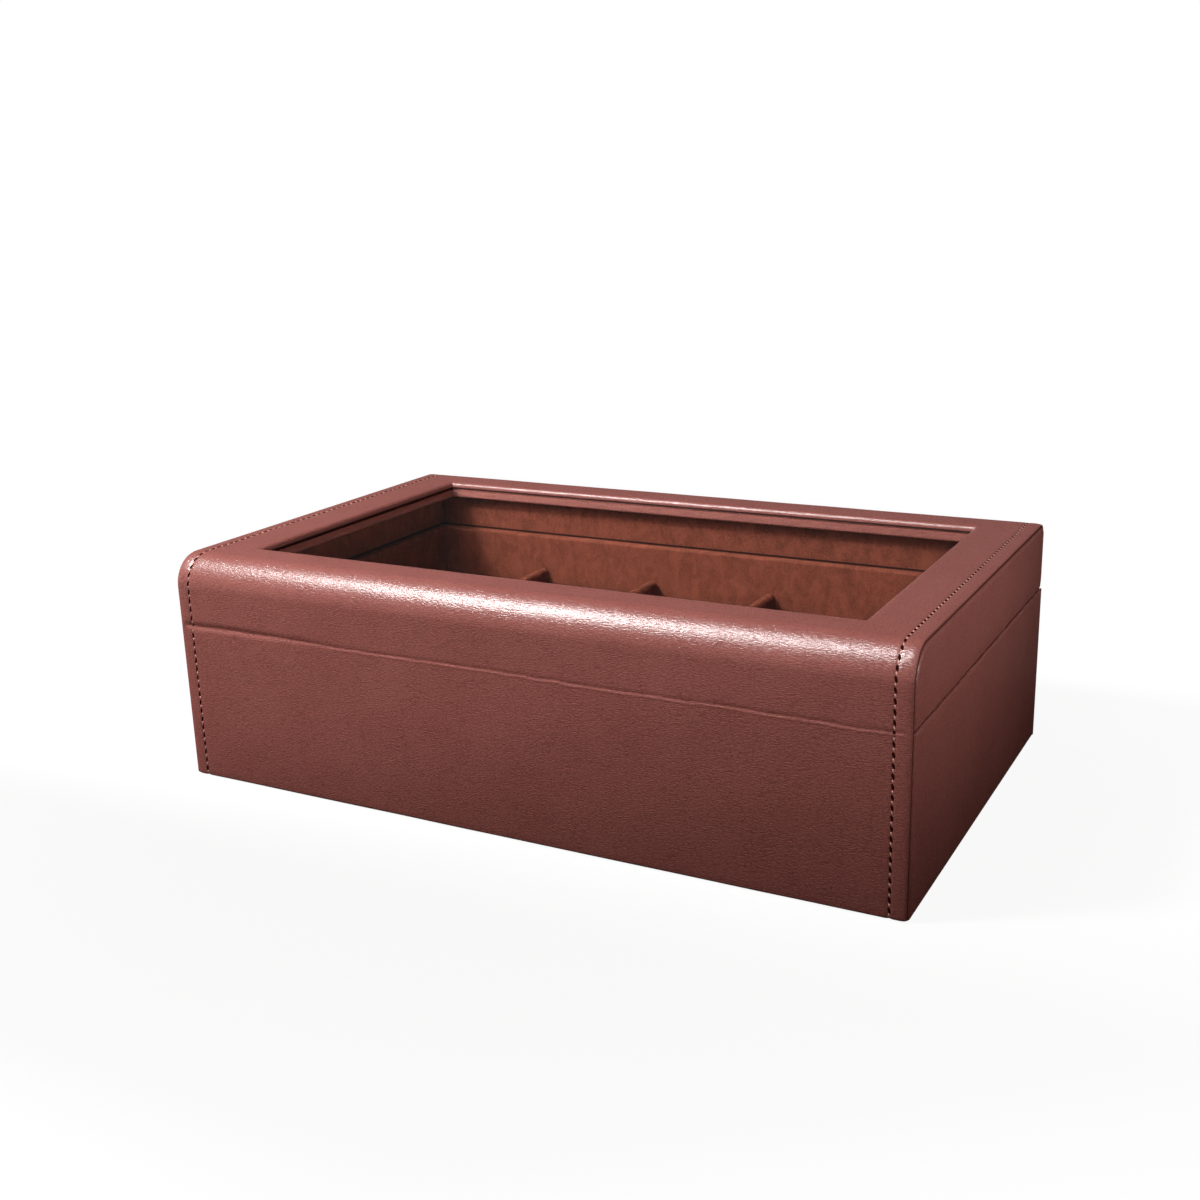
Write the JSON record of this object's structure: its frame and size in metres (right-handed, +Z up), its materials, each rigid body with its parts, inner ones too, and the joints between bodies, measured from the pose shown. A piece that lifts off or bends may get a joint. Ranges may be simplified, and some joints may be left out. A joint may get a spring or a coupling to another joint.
{
  "type": "watch box with drawer",
  "caption": "Leather-covered watch box: glass-topped lid on a leather hinge, suede-lined tray with dividers and watch cushions, and a shallow drawer with a knob below.",
  "frame": {"origin": "centre of the underside, on the surface that the box stands on", "axes": "+X along the hinge to the right seen from the drawer side, +Y towards the hinge, +Z up"},
  "size_m": [0.325, 0.209, 0.1],
  "materials": {
    "leather_grain": "reddish brown leather with a fine creased grain, satin",
    "fibreboard": "medium density fibreboard, sanded",
    "suede_lining": "short napped suede on card, matt",
    "suede_cushion": "short napped suede over foam, matt",
    "pane_glass": "clear float glass, polished",
    "underside_felt": "pressed felt, matt",
    "brushed_nickel": "turned brass with a satin nickel plate",
    "magnet_nickel": "nickel plated neodymium, bright"
  },
  "bodies": {
    "base": {"bottom_felt": "underside_felt", "base_bottom_board": "fibreboard", "base_wall_back": "fibreboard", "base_wall_left": "fibreboard", "base_wall_right": "fibreboard", "base_front_rail": "fibreboard", "deck_board": "fibreboard", "drawer_guides": "fibreboard", "drawer_stop": "fibreboard", "base_back_leather": "leather_grain", "base_front_leather": "leather_grain", "base_side_leather_left": "leather_grain", "base_side_leather_right": "leather_grain", "base_rim_leather": "leather_grain", "tray_liner_front": "suede_lining", "tray_liner_back": "suede_lining", "tray_liner_left": "suede_lining", "tray_liner_right": "suede_lining", "tray_floor_pad": "suede_lining", "tray_cross_divider": "suede_lining", "tray_divider_1": "suede_lining", "tray_divider_2": "suede_lining", "tray_divider_3": "suede_lining", "cushion_1": "suede_cushion", "cushion_2": "suede_cushion", "cushion_3": "suede_cushion", "cushion_4": "suede_cushion", "cushion_5": "suede_cushion", "cushion_6": "suede_cushion", "base_magnets": "magnet_nickel"},
    "lid": {"lid_top_rail_front": "fibreboard", "lid_top_rail_back": "fibreboard", "lid_top_rail_left": "fibreboard", "lid_top_rail_right": "fibreboard", "lid_wall_front": "fibreboard", "lid_wall_back": "fibreboard", "lid_wall_left": "fibreboard", "lid_wall_right": "fibreboard", "glass_pane": "pane_glass", "glass_retainer_front": "leather_grain", "glass_retainer_back": "leather_grain", "glass_retainer_left": "leather_grain", "glass_retainer_right": "leather_grain", "lid_wrap_leather": "leather_grain", "lid_side_leather_left": "leather_grain", "lid_side_leather_right": "leather_grain", "lid_lining": "suede_lining", "lid_rim_leather": "leather_grain", "lid_magnets": "magnet_nickel"},
    "drawer": {"drawer_front_board": "fibreboard", "drawer_front_leather": "leather_grain", "drawer_side_left": "fibreboard", "drawer_side_right": "fibreboard", "drawer_back": "fibreboard", "drawer_bottom": "fibreboard", "drawer_lining": "suede_lining", "drawer_knob": "brushed_nickel", "drawer_knob_screw": "brushed_nickel"}
  },
  "joints": [
    {"name": "lid_hinge", "type": "hinge", "parent": "base", "child": "lid", "pos_m": [0, 0.098, 0.0698], "axis": [-1, 0, 0], "range_deg": [0, 100]},
    {"name": "drawer_slide", "type": "slide", "parent": "base", "child": "drawer", "axis": [0, -1, 0], "range_m": [0, 0.12]}
  ]
}
